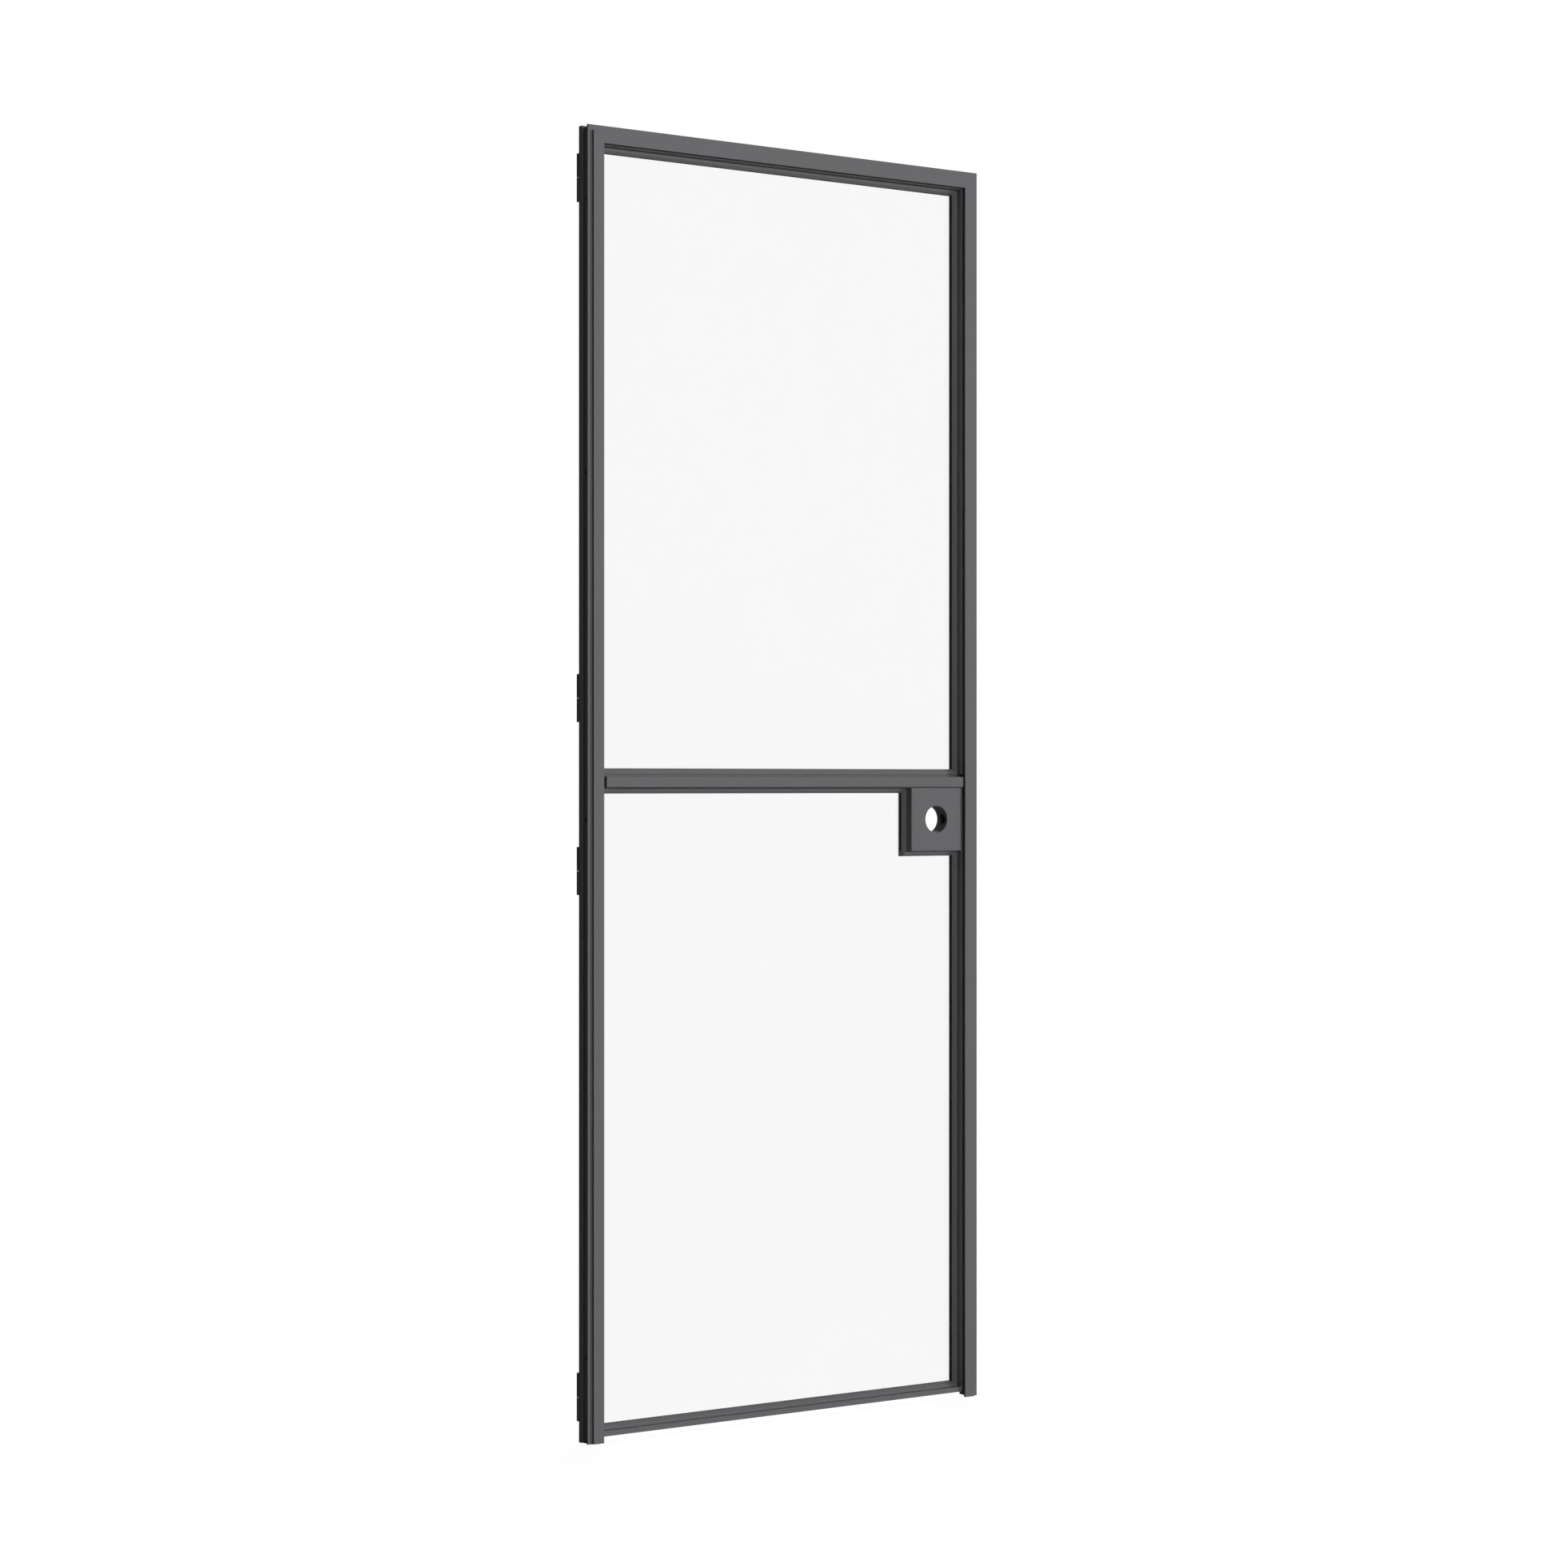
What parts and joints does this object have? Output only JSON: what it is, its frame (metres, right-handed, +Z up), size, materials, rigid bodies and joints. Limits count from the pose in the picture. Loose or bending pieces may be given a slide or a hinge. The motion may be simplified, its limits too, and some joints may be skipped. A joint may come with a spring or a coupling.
{
  "type": "dutch door",
  "caption": "Steel framed glazed dutch door: an upper and a lower leaf swing separately to the back on pin hinges, with a lock case and round bore in the lower leaf.",
  "frame": {"origin": "on the outer side face of the hinge jamb's back lip, mid-width of that lip, at floor level", "axes": "+X across the doorway from the hinge side to the lock side, +Y from the front to the back, +Z up"},
  "size_m": [0.92, 0.054, 2.46],
  "materials": {
    "frame_paint": "semi-gloss",
    "leaf_paint": "semi-gloss",
    "bead_paint": "semi-gloss",
    "hinge_paint": "semi-gloss",
    "hinge_pin": "satin",
    "glass": "clear"
  },
  "bodies": {
    "frame": {"head": "frame_paint", "head_stop": "frame_paint", "hinge_jamb": "frame_paint", "hinge_jamb_stop": "frame_paint", "lock_jamb": "frame_paint", "lock_jamb_stop": "frame_paint", "lower_bottom_hinge_frame_half": "hinge_paint", "lower_bottom_hinge_pin": "hinge_pin", "lower_top_hinge_frame_half": "hinge_paint", "lower_top_hinge_pin": "hinge_pin", "upper_bottom_hinge_frame_half": "hinge_paint", "upper_bottom_hinge_pin": "hinge_pin", "upper_top_hinge_frame_half": "hinge_paint", "upper_top_hinge_pin": "hinge_pin"},
    "upper_leaf": {"upper_bead_bottom": "bead_paint", "upper_bead_hinge_side": "bead_paint", "upper_bead_lock_side": "bead_paint", "upper_bead_top": "bead_paint", "upper_bottom_hinge_leaf_half": "hinge_paint", "upper_bottom_rail": "leaf_paint", "upper_glass": "glass", "upper_hinge_stile": "leaf_paint", "upper_lock_stile": "leaf_paint", "upper_top_hinge_leaf_half": "hinge_paint", "upper_top_rail": "leaf_paint"},
    "lower_leaf": {"lock_back_plate": "leaf_paint", "lock_bead_side": "bead_paint", "lock_bead_under": "bead_paint", "lock_case": "leaf_paint", "lock_front_plate": "leaf_paint", "lower_bead_bottom": "bead_paint", "lower_bead_hinge_side": "bead_paint", "lower_bead_lock_side": "bead_paint", "lower_bead_top": "bead_paint", "lower_bottom_hinge_leaf_half": "hinge_paint", "lower_bottom_rail": "leaf_paint", "lower_glass": "glass", "lower_hinge_stile": "leaf_paint", "lower_lock_stile": "leaf_paint", "lower_top_hinge_leaf_half": "hinge_paint", "lower_top_rail": "leaf_paint", "meeting_plate": "leaf_paint"}
  },
  "joints": [
    {"name": "upper_leaf_swing", "type": "hinge", "parent": "frame", "child": "upper_leaf", "pos_m": [0.01, 0.015, 0], "axis": [0, 0, 1], "range_deg": [0, 180]},
    {"name": "lower_leaf_swing", "type": "hinge", "parent": "frame", "child": "lower_leaf", "pos_m": [0.01, 0.015, 0], "axis": [0, 0, 1], "range_deg": [0, 180]}
  ]
}
